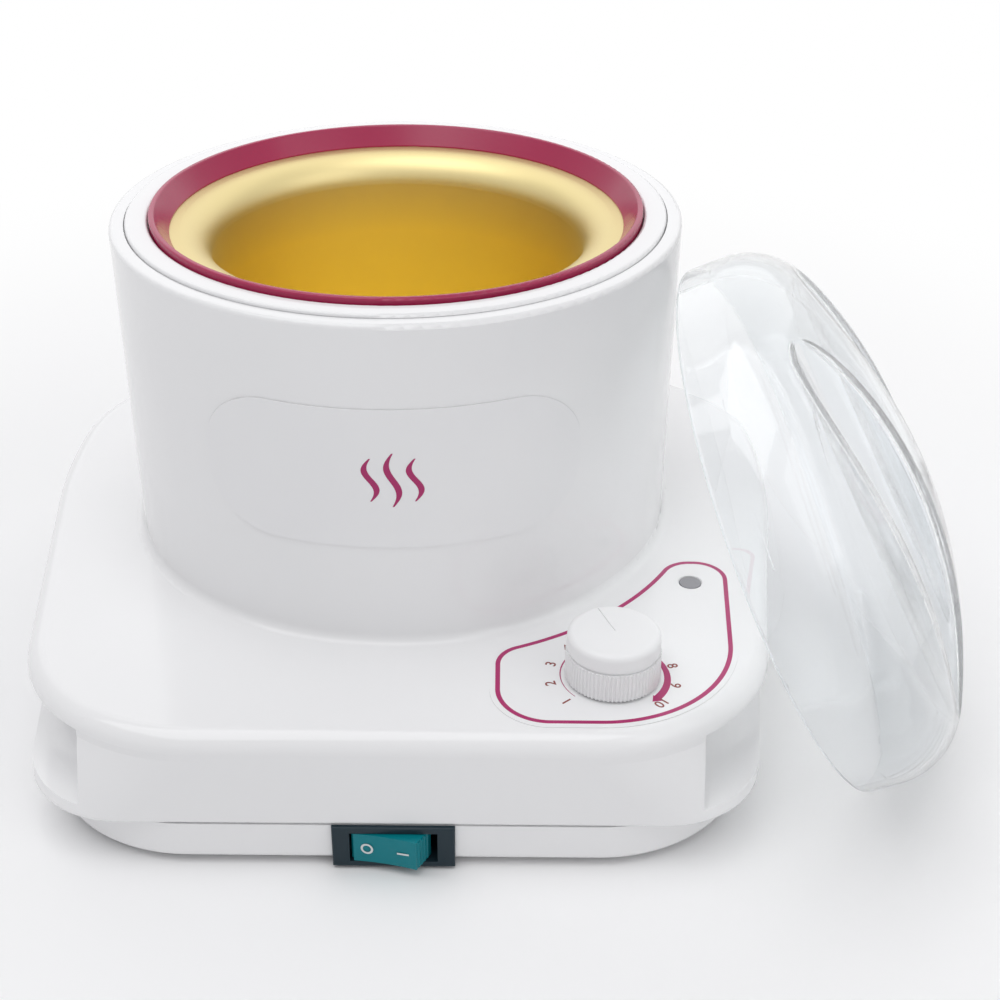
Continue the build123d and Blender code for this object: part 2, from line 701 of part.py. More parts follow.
def make_heat_shield():
    """Sheet-metal can around the insulation, screwed to the tray's posts."""
    low, high = SHIELD_Z
    can = rod(SHIELD_R + SHIELD_T, low, high) - rod(SHIELD_R, low + SHIELD_T, high + 1)
    can -= rod(SHIELD_HOLE_R, low - 1, low + 2)
    for angle in POST_DEGS:
        can -= Rot(0, 0, angle) * Pos(POST_CIRCLE_R, 0, 0) * rod(SCREW_CLEAR_R, low - 1, low + 2)
    for x, y in (bulb_place(), tail_place(-1), tail_place(1)):
        can -= Pos(x, y, 0) * rod(LEAD_HOLE_R, low - 1, low + 2)
    return can


def make_shield_screws():
    """Three screws down through the shield's floor into the posts."""
    seat = SHIELD_Z[0] + SHIELD_T
    screw = pan_screw(SHIELD_SCREW_LEN, 0)
    flipped = Pos(0, 0, seat) * Rot(180, 0, 0) * screw
    return group([Rot(0, 0, a) * Pos(POST_CIRCLE_R, 0, 0) * flipped for a in POST_DEGS])


def make_thermal_cutout():
    """Bimetal safety cut-out that stands under the middle of the pot."""
    low = cutout_low()
    body = rod(CUTOUT_R, low, low + CUTOUT_H)
    body += rod(CUTOUT_CAP_R, low + CUTOUT_H, POT_FLOOR_Z - POT_T - SLIDE_GAP)
    body += rod(CUTOUT_FLANGE_R, low, low + CUTOUT_FLANGE_T)
    for side in (-1, 1):
        x = side * CUTOUT_TAB_X
        half = CUTOUT_TAB_W / 2
        tab_z = (low - CUTOUT_TAB_LEN, low + CUTOUT_FLANGE_T / 2)
        body += block((x - BLADE_T / 2, x + BLADE_T / 2), (-half, half), tab_z)
    return body


def cutout_low():
    """Underside of the cut-out, on the shield's floor."""
    return SHIELD_Z[0] + SHIELD_T + TOUCH_GAP


def bulb_place():
    """Where the sensing bulb stands, between the heater and its insulation."""
    r = (STRAP_OUTER + SLEEVE_INNER) / 2
    return r * cos(radians(BULB_DEG)), r * sin(radians(BULB_DEG))


def make_sensor_bulb():
    """Sensing bulb of the thermostat, held against the heater."""
    x, y = bulb_place()
    bulb = rod(BULB_R, *BULB_Z)
    return Pos(x, y, 0) * fillet(bulb.edges().filter_by(GeomType.CIRCLE), BULB_R * 0.6)


def stat_top():
    return DECK_Z - WALL


def make_capillary():
    """Fine tube from the bulb down to the thermostat."""
    x, y = bulb_place()
    end_x = DIAL_X - STAT_W / 2 - RUN_GAP
    end_y = DIAL_Y + STAT_D / 6
    end_z = stat_top() - STAT_H / 3
    points = [
        (x, y, BULB_Z[0]),
        (x, y, end_z + LEAD_OUT / 2),
        (x - LEAD_OUT / 2, y - LEAD_OUT, end_z),
        (end_x - LEAD_OUT, end_y, end_z),
        (end_x, end_y, end_z),
    ]
    return lead(points, LEAD_BEND_R / 2, CAPILLARY_R)


def make_thermostat_body():
    """Moulded thermostat case, clamped under the deck by its threaded bush."""
    top = stat_top()
    case = block((-STAT_W / 2, STAT_W / 2), (-STAT_D / 2, STAT_D / 2), (top - STAT_H, top))
    case = fillet(case.edges().filter_by(Axis.Z), STAT_CORNER_R)
    case += rod(BUSH_R, top - 1, DECK_Z + BUSH_ABOVE)
    case -= rod(SHAFT_R + RUN_GAP, top - STAT_H, DECK_Z + BUSH_ABOVE + 1)
    case -= rod(STAT_CHAMBER_R, top - STAT_H - 1, top - STAT_H + STAT_CHAMBER_H)
    return Pos(DIAL_X, DIAL_Y, 0) * case


def make_thermostat_base():
    """Ceramic plate that closes the thermostat from below."""
    high = stat_top() - STAT_H
    plate = block((-STAT_W / 2, STAT_W / 2), (-STAT_D / 2, STAT_D / 2), (high - STAT_BASE_T, high))
    plate = fillet(plate.edges().filter_by(Axis.Z), STAT_CORNER_R)
    return Pos(DIAL_X, DIAL_Y, 0) * plate


def make_thermostat_blades():
    """Two terminal blades below the thermostat."""
    high = stat_top() - STAT_H - STAT_BASE_T
    blade = block((-BLADE_T / 2, BLADE_T / 2), (-BLADE_W / 2, BLADE_W / 2), (high - BLADE_LEN, high))
    return group([Pos(DIAL_X + side * STAT_BLADE_X, DIAL_Y, 0) * blade for side in (-1, 1)])


def make_thermostat_nut():
    """Hexagon nut on the bush, hidden under the knob."""
    nut = slab(RegularPolygon(NUT_R, 6), DECK_Z + LABEL_T, DECK_Z + LABEL_T + NUT_T)
    nut -= rod(BUSH_R + TOUCH_GAP, DECK_Z - 1, DECK_Z + NUT_T + 2)
    return Pos(DIAL_X, DIAL_Y, 0) * nut


def knob_low():
    return DECK_Z + KNOB_GAP


def knob_socket_top():
    return knob_low() + KNOB_BORE_DEPTH + SHAFT_IN_KNOB


def shaft_section(grow):
    """Round shaft with one flat, or its socket when grown."""
    r = SHAFT_R + grow
    flat = SHAFT_FLAT + grow
    return Circle(r) - Pos(flat + r, 0) * Rectangle(2 * r, 4 * r)


def make_thermostat_shaft():
    """Dial shaft with the cam that it turns inside the thermostat."""
    low = stat_top() - STAT_H
    cam_low = low + CAM_ABOVE_BASE
    shaft = rod(SHAFT_R, cam_low, DECK_Z + BUSH_ABOVE + 0.5)
    shaft += rod(CAM_R, cam_low, cam_low + CAM_T) - Pos(CAM_R, 0, 0) * rod(CAM_R / 2, low, cam_low + 9)
    top = knob_socket_top() - 2 * SLIDE_GAP
    flat = slab(shaft_section(0), DECK_Z + BUSH_ABOVE, top)
    return Pos(DIAL_X, DIAL_Y, 0) * Rot(0, 0, POINTER_DEG) * (shaft + flat)


def make_control_knob():
    """Round knob: knurled skirt, fine groove, smooth cap with an engraved pointer."""
    low = knob_low()
    knurl_top = low + KNURL_H
    groove_top = knurl_top + KNOB_GROOVE_H
    top = groove_top + KNOB_CAP_H
    step = 2 * pi / KNURL_COUNT
    points = []
    for i in range(KNURL_COUNT):
        for share, depth in ((0.0, KNURL_DEPTH), (0.2, 0.0), (0.5, 0.0), (0.7, KNURL_DEPTH)):
            angle = (i + share) * step
            points.append(((KNOB_R - depth) * cos(angle), (KNOB_R - depth) * sin(angle)))
    knob = slab(make_face(Polyline(*points, close=True)), low, knurl_top)
    knob += rod(KNOB_GROOVE_R, knurl_top, groove_top)
    cap = rod(KNOB_CAP_R, groove_top, top)
    knob += fillet(cap.edges().group_by(Axis.Z)[-1], KNOB_CAP_FILLET)
    knob -= rod(KNOB_SKIRT_BORE_R, low - 1, low + KNOB_BORE_DEPTH)
    knob -= Rot(0, 0, POINTER_DEG) * slab(shaft_section(RUN_GAP), low, knob_socket_top())
    pointer = block((0, KNOB_CAP_R + 1), (-POINTER_W / 2, POINTER_W / 2), (top - POINTER_DEPTH, top + 1))
    knob -= Rot(0, 0, POINTER_DEG) * pointer
    return Pos(DIAL_X, DIAL_Y, 0) * knob


def make_indicator_lamp():
    """Lamp with a flat lens that sits flush in the deck."""
    top = DECK_Z + LAMP_PROUD
    lens = fillet(rod(LAMP_FLANGE_R, top - LAMP_FLANGE_T, top).edges().group_by(Axis.Z)[-1], LAMP_EDGE_R)
    lamp = lens + rod(LAMP_R, top - LAMP_LEN, top - LAMP_FLANGE_T / 2)
    for side in (-1, 1):
        leg = rod(LAMP_LEG_R, lamp_leg_low(), top - LAMP_LEN / 2)
        lamp += Pos(side * LAMP_LEG_X, 0, 0) * leg
    return Pos(LAMP_X, LAMP_Y, 0) * lamp


def lamp_leg_low():
    return DECK_Z + LAMP_PROUD - LAMP_LEN - LAMP_LEG_LEN


def make_lamp_clip():
    """Push-on ring that holds the lamp up against the deck."""
    high = DECK_Z - WALL
    return Pos(LAMP_X, LAMP_Y, 0) * tube(LAMP_CLIP_R, LAMP_R + TOUCH_GAP, high - LAMP_CLIP_H, high)


def switch_mount_y():
    """The tray's front face, which the switch bezel sits on."""
    return FRONT_Y + TRAY_FRONT_INSET


def pivot_y():
    return FRONT_Y + PIVOT_BACK


def make_switch_housing():
    """Snap-in switch body with its bezel."""
    face = switch_mount_y()
    front = face - BEZEL_T
    back = front + SWITCH_D
    bezel = block(
        (SWITCH_X - BEZEL_W / 2, SWITCH_X + BEZEL_W / 2),
        (front, face),
        (BEZEL_Z - BEZEL_H / 2, BEZEL_Z + BEZEL_H / 2),
    )
    bezel = fillet(bezel.edges().group_by(Axis.Y)[0], BEZEL_EDGE_R)
    body = block(
        (SWITCH_X - SWITCH_W / 2, SWITCH_X + SWITCH_W / 2),
        (face - BEZEL_T / 2, back),
        (BEZEL_Z - SWITCH_H / 2, BEZEL_Z + SWITCH_H / 2),
    )
    housing = bezel + body
    housing -= block(
        (SWITCH_X - ROCKER_OPEN_W / 2, SWITCH_X + ROCKER_OPEN_W / 2),
        (front - 1, front + POCKET_BACK),
        (BEZEL_Z - ROCKER_OPEN_H / 2, BEZEL_Z + ROCKER_OPEN_H / 2),
    )
    pivot = Pos(SWITCH_X, pivot_y(), 0) * rod(PIVOT_R + RUN_GAP, BEZEL_Z - SWITCH_H / 2 - 1, BEZEL_Z + SWITCH_H / 2 + 1)
    return housing - pivot


def rocker_section():
    """Plan of the rocker at mid travel, with its pivot at the origin and its face towards -Y."""
    face_half = ROCKER_FACE_HALF
    foot_half = ROCKER_FOOT_HALF
    face = -ROCKER_FACE_DIST
    foot = -ROCKER_FOOT_DIST
    path = ThreePointArc((-face_half, face), (0, face + ROCKER_DISH), (face_half, face))
    path += Polyline(
        (face_half, face),
        (foot_half, foot),
        (ROCKER_HUB_R, 0),
        (-ROCKER_HUB_R, 0),
        (-foot_half, foot),
        (-face_half, face),
    )
    return make_face(path)


def make_switch_rocker():
    """Rocker with ribbed ends and two trunnions, tipped to its off side."""
    half = ROCKER_H / 2
    rocker = extrude(rocker_section(), half, both=True)
    rocker += Cylinder(ROCKER_HUB_R, ROCKER_H)
    rocker += Cylinder(PIVOT_R, SWITCH_H)
    run = ROCKER_FACE_DIST - ROCKER_FOOT_DIST
    flare = ROCKER_FOOT_HALF - ROCKER_FACE_HALF
    slope = degrees(atan2(flare, run))
    for side in (-1, 1):
        for i in range(ROCKER_RIBS):
            share = (i + 0.8) / (ROCKER_RIBS + 1.2)
            x = side * (ROCKER_FACE_HALF + share * flare)
            y = -ROCKER_FACE_DIST + share * run
            rib = Box(2 * ROCKER_RIB_H, ROCKER_RIB_W, ROCKER_H - 2 * ROCKER_RIB_H)
            rocker += Pos(x, y, 0) * Rot(0, 0, side * slope) * rib
    return Pos(SWITCH_X, pivot_y(), BEZEL_Z) * Rot(0, 0, -ROCKER_TILT_DEG) * rocker


def make_switch_blades():
    """Two terminal blades at the back of the switch."""
    back = switch_mount_y() - BEZEL_T + SWITCH_D
    blade = block((-BLADE_T / 2, BLADE_T / 2), (back, back + BLADE_LEN), (BEZEL_Z - BLADE_W / 2, BEZEL_Z + BLADE_W / 2))
    return group([Pos(SWITCH_X + side * SWITCH_BLADE_X, 0, 0) * blade for side in (-1, 1)])


def make_power_inlet():
    """Two-pole mains inlet that snaps into the back wall."""
    flange = block(
        (INLET_X - INLET_FLANGE_W / 2, INLET_X + INLET_FLANGE_W / 2),
        (BACK_Y, BACK_Y + INLET_FLANGE_T),
        (INLET_Z - INLET_FLANGE_H / 2, INLET_Z + INLET_FLANGE_H / 2),
    )
    flange = fillet(flange.edges().filter_by(Axis.Y), INLET_CORNER_R)
    front = BACK_Y + INLET_FLANGE_T
    body = block(
        (INLET_X - INLET_BODY_W / 2, INLET_X + INLET_BODY_W / 2),
        (BACK_Y - INLET_BODY_D, BACK_Y + INLET_FLANGE_T / 2),
        (INLET_Z - INLET_BODY_H / 2, INLET_Z + INLET_BODY_H / 2),
    )
    inlet = flange + body
    lobe = Pos(0, front, INLET_Z) * Rot(90, 0, 0) * Cylinder(INLET_LOBE_R, 2 * INLET_SOCKET_D)
    for side in (-1, 1):
        inlet -= Pos(INLET_X + side * INLET_LOBE_PITCH / 2, 0, 0) * lobe
    inlet -= block(
        (INLET_X - INLET_LOBE_PITCH / 2, INLET_X + INLET_LOBE_PITCH / 2),
        (front - INLET_SOCKET_D, front + 1),
        (INLET_Z - INLET_LOBE_R + INLET_WAIST, INLET_Z + INLET_LOBE_R - INLET_WAIST),
    )
    return inlet


def make_inlet_pins():
    """The inlet's two contact pins."""
    floor = BACK_Y + INLET_FLANGE_T - INLET_SOCKET_D
    pins = []
    for side in (-1, 1):
        pin = Pos(0, floor + INLET_PIN_LEN / 2, 0) * Rot(90, 0, 0) * Cylinder(INLET_PIN_R, INLET_PIN_LEN)
        tip = pin.edges().group_by(Axis.Y)[-1]
        pins.append(Pos(INLET_X + side * INLET_PIN_PITCH / 2, 0, INLET_Z) * fillet(tip, INLET_PIN_R / 2))
    return group(pins)


def make_inlet_blades():
    """Two terminal blades inside, behind the inlet."""
    back = BACK_Y - INLET_BODY_D
    blade = block((-BLADE_T / 2, BLADE_T / 2), (back - BLADE_LEN, back), (INLET_Z - BLADE_W / 2, INLET_Z + BLADE_W / 2))
    return group([Pos(INLET_X + side * INLET_PIN_PITCH / 2, 0, 0) * blade for side in (-1, 1)])


def make_panel_label():
    """Clear label on the deck, curved round the tower's foot."""
    corners = [
        (LABEL_LEFT_X, LABEL_BOTTOM_Y),
        (LABEL_RIGHT_X, LABEL_BOTTOM_Y),
        (LABEL_RIGHT_X + LABEL_FLARE, LABEL_TOP_Y),
        (LABEL_LEFT_X, LABEL_TOP_Y),
    ]
    face = make_face(Polyline(*corners, close=True)) - Circle(LABEL_ARC_R)
    rounds = [
        (corners[0], LABEL_LEFT_R),
        (corners[1], LABEL_BIG_R),
        (corners[2], LABEL_SMALL_R),
        ((LABEL_LEFT_X, -sqrt(LABEL_ARC_R**2 - LABEL_LEFT_X**2)), LABEL_SMALL_R),
        ((sqrt(LABEL_ARC_R**2 - LABEL_TOP_Y**2), LABEL_TOP_Y), LABEL_SMALL_R),
    ]
    for place, radius in rounds:
        corner = min(face.vertices(), key=lambda v: plan_distance(v, place))
        face = fillet(corner, radius)
    label = slab(face, DECK_Z, DECK_Z + LABEL_T)
    label -= Pos(DIAL_X, DIAL_Y, 0) * rod(BUSH_R + SLIDE_GAP, DECK_Z - 1, DECK_Z + 1)
    return label - Pos(LAMP_X, LAMP_Y, 0) * rod(LAMP_FLANGE_R + SEAT_GAP, DECK_Z - 1, DECK_Z + 1)


def plan_distance(vertex, place):
    """Distance in plan from a vertex to a point."""
    return sqrt((vertex.X - place[0]) ** 2 + (vertex.Y - place[1]) ** 2)


def make_tower_label():
    """Clear label wrapped round the front of the tower."""
    half = TOWER_TOP_R * sin(radians(TOWER_LABEL_SPAN_DEG / 2))
    face = RectangleRounded(2 * half, TOWER_LABEL_H, TOWER_LABEL_CORNER)
    stamp = extrude(Plane.XZ * face, 2 * TOWER_TOP_R)
    stamp = Rot(0, 0, TOWER_LABEL_DEG) * Pos(0, 0, TOWER_LABEL_Z) * stamp
    low = TOWER_LABEL_Z - TOWER_LABEL_H
    high = TOWER_LABEL_Z + TOWER_LABEL_H / 2 + 1
    skin, core = [
        Pos(0, 0, low) * Cone(
            tower_radius(low) + gap,
            tower_radius(high) + gap,
            high - low,
            align=(Align.CENTER, Align.CENTER, Align.MIN),
        )
        for gap in (LABEL_GAP + LABEL_T, LABEL_GAP)
    ]
    return (skin - core) & stamp


def make_rating_plate():
    """Blank plate under the tray."""
    plate = Box(PLATE_W, PLATE_H, PLATE_T, align=(Align.CENTER, Align.CENTER, Align.MAX))
    plate = fillet(plate.edges().filter_by(Axis.Z), PLATE_CORNER_R)
    return Pos(BASE_X, 0, TRAY_BOTTOM_Z) * plate


def lead(points, bend_r, radius):
    """A round lead along straight runs joined by arcs."""
    path = FilletPolyline(*points, radius=bend_r)
    return sweep(Plane(origin=path @ 0, z_dir=path % 0) * Circle(radius), path)


def stat_blade_low():
    return stat_top() - STAT_H - STAT_BASE_T - BLADE_LEN


def switch_blade_back():
    return switch_mount_y() - BEZEL_T + SWITCH_D + BLADE_LEN


def inlet_blade_front():
    return BACK_Y - INLET_BODY_D - BLADE_LEN


def tail_place(side):
    """Where a lead meets the lower edge of the heater band."""
    r = BAND_INNER + LEAD_R
    angle = radians(90 + side * TAIL_DEG)
    return r * cos(angle), r * sin(angle)


def make_lead_live():
    """From the inlet to the switch."""
    x = INLET_X - INLET_PIN_PITCH / 2
    end_x = SWITCH_X - SWITCH_BLADE_X
    start_y = inlet_blade_front()
    end_y = switch_blade_back()
    points = [
        (x, start_y, INLET_Z),
        (x, start_y - LEAD_OUT, INLET_Z),
        (LEAD_LANE_X, start_y - 3 * LEAD_OUT, LEAD_Z),
        (end_x, end_y + 2 * LEAD_OUT, LEAD_Z),
        (end_x, end_y + LEAD_OUT, BEZEL_Z),
        (end_x, end_y, BEZEL_Z),
    ]
    return lead(points, LEAD_BEND_R, LEAD_R)


def make_lead_switched():
    """From the switch to the thermostat."""
    x = SWITCH_X + SWITCH_BLADE_X
    y = switch_blade_back()
    end_x = DIAL_X - STAT_BLADE_X
    points = [
        (x, y, BEZEL_Z),
        (x, y + LEAD_OUT, BEZEL_Z),
        (end_x - LEAD_OUT, DIAL_Y, LEAD_Z),
        (end_x, DIAL_Y, LEAD_Z),
        (end_x, DIAL_Y, stat_blade_low()),
    ]
    return lead(points, LEAD_BEND_R, LEAD_R)


def make_lead_control():
    """From the thermostat to the safety cut-out."""
    x = DIAL_X + STAT_BLADE_X
    points = [
        (x, DIAL_Y, stat_blade_low()),
        (x, DIAL_Y, LEAD_Z),
        (x - LEAD_OUT, DIAL_Y + LEAD_OUT, LEAD_Z),
        (CUTOUT_TAB_X, 0, CONTROL_RISE_Z),
        (CUTOUT_TAB_X, 0, cutout_low() - CUTOUT_TAB_LEN),
    ]
    return lead(points, LEAD_BEND_R, LEAD_R)


def make_lead_neutral():
    """From the inlet to one tail of the heater."""
    x, y = tail_place(-1)
    start_x = INLET_X + INLET_PIN_PITCH / 2
    start_y = inlet_blade_front()
    points = [
        (start_x, start_y, INLET_Z),
        (start_x, start_y - LEAD_OUT, INLET_Z),
        (x, y, INLET_Z + LEAD_BEND_R),
        (x, y, BAND_Z[0]),
    ]
    return lead(points, LEAD_BEND_R, LEAD_R)


def make_lead_heater():
    """From the safety cut-out to the other tail of the heater."""
    x, y = tail_place(1)
    top = cutout_low() - CUTOUT_TAB_LEN
    points = [
        (-CUTOUT_TAB_X, 0, top),
        (-CUTOUT_TAB_X, 0, top - LEAD_OUT),
        (x, y, top - LEAD_OUT),
        (x, y, BAND_Z[0]),
    ]
    return lead(points, LEAD_BEND_R, LEAD_R)


def make_lamp_leads():
    """Two fine leads from the lamp to the thermostat."""
    end_x = DIAL_X + STAT_W / 2
    top = lamp_leg_low()
    z = stat_top() - STAT_H / 2
    leads = []
    for side in (-1, 1):
        x = LAMP_X + side * LAMP_LEG_X
        y = DIAL_Y + STAT_D / 4 - side * LAMP_LEAD_PITCH / 2
        turn_x = end_x + 2 * LAMP_BEND_R + (1 + side) / 2 * LAMP_LEAD_STEP
        points = [
            (x, LAMP_Y, top),
            (x, LAMP_Y, top - LAMP_LEAD_DROP),
            (turn_x, y + LAMP_LEAD_DROP, z),
            (turn_x, y, z),
            (end_x, y, z),
        ]
        leads.append(lead(points, LAMP_BEND_R, LAMP_LEAD_R))
    return group(leads)


def lid_section(grow):
    """Half section of the lid's outside, or of its inside when grown by minus its wall."""
    radius = LID_R + grow
    shoulder = LID_SHOULDER_R + grow
    crown = LID_CROWN_R + grow
    top = LID_TOP_H + grow
    centre_r = radius - shoulder
    centre_z = top - crown + sqrt((crown - shoulder) ** 2 - centre_r**2)
    share = crown / (crown - shoulder)
    meet = (centre_r * share, top - crown + (centre_z - top + crown) * share)
    half_turn = (atan2(meet[1] - centre_z, meet[0] - centre_r)) / 2
    mid = (centre_r + shoulder * cos(half_turn), centre_z + shoulder * sin(half_turn))
    quarter = atan2(meet[0], meet[1] - top + crown) / 2
    crown_mid = (crown * sin(quarter), top - crown + crown * cos(quarter))
    low = 0 if grow == 0 else -1
    path = Line((0, 0, low), (radius, 0, low))
    path += Line((radius, 0, low), (radius, 0, centre_z))
    path += ThreePointArc((radius, 0, centre_z), (mid[0], 0, mid[1]), (meet[0], 0, meet[1]))
    path += ThreePointArc((meet[0], 0, meet[1]), (crown_mid[0], 0, crown_mid[1]), (0, 0, top))
    path += Line((0, 0, top), (0, 0, low))
    return make_face(path)


def scoop(side, grow):
    """Finger hollow beside the grip, or that hollow grown by the lid's wall."""
    axis = Pos(0, side * SCOOP_AWAY, SCOOP_FLOOR_H + SCOOP_R) * Rot(0, 90, 0)
    return axis * Cylinder(SCOOP_R + grow, 4 * LID_R)


def make_lid():
    """Clear domed lid with a grip between two finger hollows, leaning beside the tower."""
    shapes = []
    for grow in (0, -LID_T):
        dome = revolve(lid_section(grow), Axis.Z, 360)
        for side in (-1, 1):
            dome -= scoop(side, -grow)
        shapes.append(fillet(dome.edges().filter_by(GeomType.BSPLINE), SCOOP_EDGE_R))
    lid = shapes[0] - shapes[1]
    rim = lid.edges().group_by(Axis.Z)[0]
    lid = fillet(rim, LID_RIM_R)
    return lid_place() * lid


def lid_place():
    """The leaning pose: the rim stands on the table and its upper part meets the tower."""
    lean = radians(LID_LEAN_DEG)
    turn = radians(LID_TURN_DEG)
    normal = Vector(cos(lean) * cos(turn), cos(lean) * sin(turn), sin(lean))
    slope = Vector(-sin(lean) * cos(turn), -sin(lean) * sin(turn), cos(lean))
    centre = Vector(LID_X, LID_Y, LID_R * cos(lean))
    return Plane(origin=centre, x_dir=slope, z_dir=normal).location


NODES = {
    "upper_housing": make_upper_housing,
    "base_tray": make_base_tray,
    "rubber_feet": make_rubber_feet,
    "tray_screws": make_tray_screws,
    "top_ring": make_top_ring,
    "bowl_collar": make_bowl_collar,
    "wax_pot": make_wax_pot,
    "heater_band": make_heater_band,
    "band_strap": make_band_strap,
    "strap_rivet": make_strap_rivet,
    "insulation_sleeve": make_insulation_sleeve,
    "insulation_pad": make_insulation_pad,
    "heat_shield": make_heat_shield,
    "shield_screws": make_shield_screws,
    "thermal_cutout": make_thermal_cutout,
    "sensor_bulb": make_sensor_bulb,
    "sensor_capillary": make_capillary,
    "thermostat_body": make_thermostat_body,
    "thermostat_base": make_thermostat_base,
    "thermostat_blades": make_thermostat_blades,
    "thermostat_nut": make_thermostat_nut,
    "thermostat_shaft": make_thermostat_shaft,
    "control_knob": make_control_knob,
    "indicator_lamp": make_indicator_lamp,
    "lamp_clip": make_lamp_clip,
    "switch_housing": make_switch_housing,
    "switch_rocker": make_switch_rocker,
    "switch_blades": make_switch_blades,
    "power_inlet": make_power_inlet,
    "inlet_pins": make_inlet_pins,
    "inlet_blades": make_inlet_blades,
    "panel_label": make_panel_label,
    "tower_label": make_tower_label,
    "rating_plate": make_rating_plate,
    "lead_live": make_lead_live,
    "lead_switched": make_lead_switched,
    "lead_control": make_lead_control,
    "lead_neutral": make_lead_neutral,
    "lead_heater": make_lead_heater,
    "lamp_leads": make_lamp_leads,
    "lid": make_lid,
}


def main():
    os.makedirs("parts", exist_ok=True)
    for name, make in NODES.items():
        shape = make()
        shape.label = name
        export_step(shape, f"parts/{name}.step")


main()
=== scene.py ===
"""Looks of the table-top wax warmer: materials, printed marks, small details, light and camera."""
import json
from math import cos, radians, sin

import bpy
from mathutils import Matrix, Vector


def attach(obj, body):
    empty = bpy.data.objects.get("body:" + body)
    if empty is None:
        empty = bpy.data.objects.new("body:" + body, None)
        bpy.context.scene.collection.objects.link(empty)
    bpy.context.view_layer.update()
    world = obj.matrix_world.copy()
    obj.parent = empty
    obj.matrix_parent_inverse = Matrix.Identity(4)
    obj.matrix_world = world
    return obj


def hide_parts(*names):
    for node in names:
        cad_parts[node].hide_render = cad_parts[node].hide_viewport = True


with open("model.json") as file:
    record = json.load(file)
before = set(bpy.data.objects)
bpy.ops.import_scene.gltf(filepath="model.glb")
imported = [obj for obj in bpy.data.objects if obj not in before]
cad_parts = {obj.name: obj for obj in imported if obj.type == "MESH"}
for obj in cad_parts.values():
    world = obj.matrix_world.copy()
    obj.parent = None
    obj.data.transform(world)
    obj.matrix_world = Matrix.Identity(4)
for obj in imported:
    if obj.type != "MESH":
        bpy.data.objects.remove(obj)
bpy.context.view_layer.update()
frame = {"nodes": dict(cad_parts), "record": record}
MM = 0.001

# Camera, as it stood for the photograph
CAMERA_AT = (0.02870, -0.42482, 0.28821)
CAMERA_PITCH = 30.4577
CAMERA_ROLL = 0.4608
CAMERA_YAW = -0.047
CAMERA_LENS = 59.4
CAMERA_SENSOR = 36.0

# Soft lights: name, place, target and size in metres, and power in watts
LIGHTS = (
    ("key", (-0.45, -0.35, 2.2), (0, 0, 0.05), (2.0, 2.0), 21.5),
    ("fill", (0.8, -0.6, 0.8), (0, 0, 0.05), (0.8, 0.8), 1.8),
    ("back", (0, 1.0, 0.9), (0, 0, 0.1), (2.4, 1.2), 4.4),
)
WORLD_STRENGTH = 0.46

# The floor's half size, where it starts to turn white and where it is white, in metres from the middle
FLOOR_HALF = 3.0
FLOOR_NEAR = 0.12
FLOOR_FAR = 0.42

# Share of the light through the lid's wall that is bent on its way
LID_BENT_SHARE = 0.85

# Places on the object, in millimetres
DIAL = (57.0, -89.6)
DIAL_HOLE_R = 5.1
LAMP = (80.6, -46.7)
LAMP_HOLE_R = 3.3
DECK_Z = 40.0
LABEL_T = 0.25
INK_T = 0.03
PANEL_ARCS = [
    (0.0, 0.0, 82.7, -28.9, -67.0, -1),
    (36.2, -85.34, 10.0, 113.0, 180.0, 1),
    (41.2, -95.6, 15.0, 180.0, 270.0, 1),
    (53.36, -73.6, 37.0, 270.0, 356.2, 1),
    (82.32, -44.8, 10.0, -3.8, 90.0, 1),
    (81.15, -44.8, 10.0, 90.0, 151.1, 1),
]
STROKE_INSETS = (1.4, 2.6)
DIAL_FIRST_DEG = 222.5
DIAL_STEP_DEG = 29.6
NUMBER_R = 15.9
NUMBER_SIZE = 3.8
NUMBER_BOLD = 0.05
WEDGE_R = 13.0
WEDGE_W = 1.9
WEDGE_THIN = 0.15
WEDGE_SHORT_DEG = 4.0
WEDGE_TIP_DEG = 9.0
WEDGE_BARB_OUT = 1.0
WEDGE_BARB_IN = 0.4
TOWER_LABEL_R = 76.75
TOWER_LABEL_Z = 88.7
TOWER_LABEL_DEG = -88.3
# Heights of the pot's painted light: deep gold at the lower one, pale gold at the upper one
POT_DEEP_Z = 104.0
POT_PALE_Z = 122.0
ROCKER_PIVOT = (2.8, -108.6, 7.05)
ROCKER_TILT_DEG = -12.0
ROCKER_MARK_OUT = 9.83
ROCKER_MARK_X = 4.6
ROCKER_RING_R = (1.6, 1.05)
ROCKER_DASH = (1.5, 0.26)
HEAT_MIDDLE_H = 15.0
HEAT_SIDE_H = 12.0
HEAT_PITCH = 5.5
HEAT_SWAY = 1.5
HEAT_END_HALF = 0.2
HEAT_SWELL = 0.75
TOWER_SLOPE = 0.0089


# Materials

